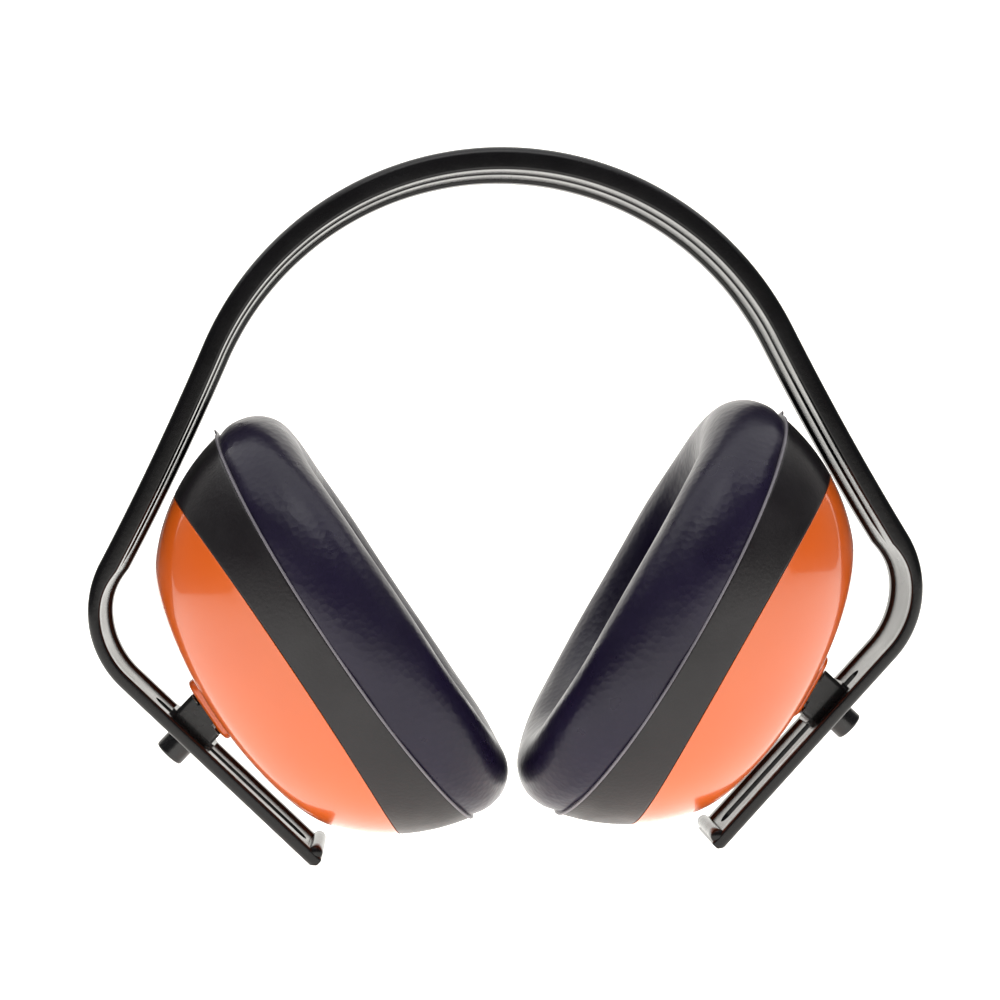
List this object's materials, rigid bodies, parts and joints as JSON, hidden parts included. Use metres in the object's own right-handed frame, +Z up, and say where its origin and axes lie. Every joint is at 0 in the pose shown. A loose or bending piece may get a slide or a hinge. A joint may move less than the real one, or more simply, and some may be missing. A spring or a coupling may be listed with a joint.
{
  "type": "hearing protection earmuffs",
  "caption": "Passive ear defenders: a sprung plastic headband with slotted ends that carry sliding, swivelling oval ear cups with padded cushions.",
  "frame": {"origin": "midway between the rail tips, on the surface they stand on", "axes": "+X towards the right cup, +Y away from the viewer across the band's width, +Z up towards the crown"},
  "size_m": [0.1862, 0.0792, 0.158],
  "materials": {
    "band": "moulded, satin gloss",
    "shell": "moulded, gloss",
    "collar": "moulded, satin",
    "cushion": "soft skin, satin",
    "foam": "open-cell foam",
    "fitting": "moulded, satin",
    "steel": "plain"
  },
  "bodies": {
    "crown": {"headband_crown": "band"},
    "shoulder_right": {"headband_shoulder_right": "band"},
    "arm_right": {"headband_arm_right": "band"},
    "slider_right": {"stud_knob_right": "fitting", "slide_washer_right": "fitting", "slider_shoe_right": "fitting", "retaining_clip_right": "steel"},
    "yoke_right": {"pivot_yoke_right": "fitting"},
    "cup_right": {"cup_shell_right": "shell", "cup_collar_right": "collar", "acoustic_liner_right": "foam", "cushion_plate_right": "collar", "cushion_foam_right": "foam", "cushion_skin_right": "cushion", "tilt_pin_right": "steel"},
    "shoulder_left": {"headband_shoulder_left": "band"},
    "arm_left": {"headband_arm_left": "band"},
    "slider_left": {"stud_knob_left": "fitting", "slide_washer_left": "fitting", "slider_shoe_left": "fitting", "retaining_clip_left": "steel"},
    "yoke_left": {"pivot_yoke_left": "fitting"},
    "cup_left": {"cup_shell_left": "shell", "cup_collar_left": "collar", "acoustic_liner_left": "foam", "cushion_plate_left": "collar", "cushion_foam_left": "foam", "cushion_skin_left": "cushion", "tilt_pin_left": "steel"}
  },
  "joints": [
    {"name": "open_right", "type": "hinge", "parent": "crown", "child": "shoulder_right", "pos_m": [0.0248, 0, 0.15363], "axis": [0, -1, 0], "range_deg": [0, 20], "stiffness_Nm_per_rad": 3},
    {"name": "flex_right", "type": "hinge", "parent": "shoulder_right", "child": "arm_right", "pos_m": [0.06571, 0, 0.11614], "axis": [0, -1, 0], "range_deg": [0, 11.5]},
    {"name": "slide_right", "type": "slide", "parent": "arm_right", "child": "slider_right", "axis": [-0.7009, 0, -0.7133], "range_m": [0, 0.028]},
    {"name": "swivel_right", "type": "hinge", "parent": "slider_right", "child": "yoke_right", "pos_m": [0.07397, 0, 0.02824], "axis": [-0.7133, 0, 0.7009], "range_deg": [-15, 15]},
    {"name": "tilt_right", "type": "hinge", "parent": "yoke_right", "child": "cup_right", "pos_m": [0.06648, 0, 0.0356], "axis": [0, -1, 0], "range_deg": [-2, 5]},
    {"name": "open_left", "type": "hinge", "parent": "crown", "child": "shoulder_left", "pos_m": [-0.0248, 0, 0.15363], "axis": [0, 1, 0], "range_deg": [0, 20], "stiffness_Nm_per_rad": 3},
    {"name": "flex_left", "type": "hinge", "parent": "shoulder_left", "child": "arm_left", "pos_m": [-0.06571, 0, 0.11614], "axis": [0, 1, 0], "range_deg": [0, 11.5]},
    {"name": "slide_left", "type": "slide", "parent": "arm_left", "child": "slider_left", "axis": [0.7009, 0, -0.7133], "range_m": [0, 0.028]},
    {"name": "swivel_left", "type": "hinge", "parent": "slider_left", "child": "yoke_left", "pos_m": [-0.07397, 0, 0.02824], "axis": [0.7133, 0, 0.7009], "range_deg": [-15, 15]},
    {"name": "tilt_left", "type": "hinge", "parent": "yoke_left", "child": "cup_left", "pos_m": [-0.06648, 0, 0.0356], "axis": [0, 1, 0], "range_deg": [-2, 5]}
  ],
  "couplings": [
    {"joint": "flex_right", "follows": "slide_right", "rad_per_m": 6.9813},
    {"joint": "flex_left", "follows": "slide_left", "rad_per_m": 6.9813}
  ]
}
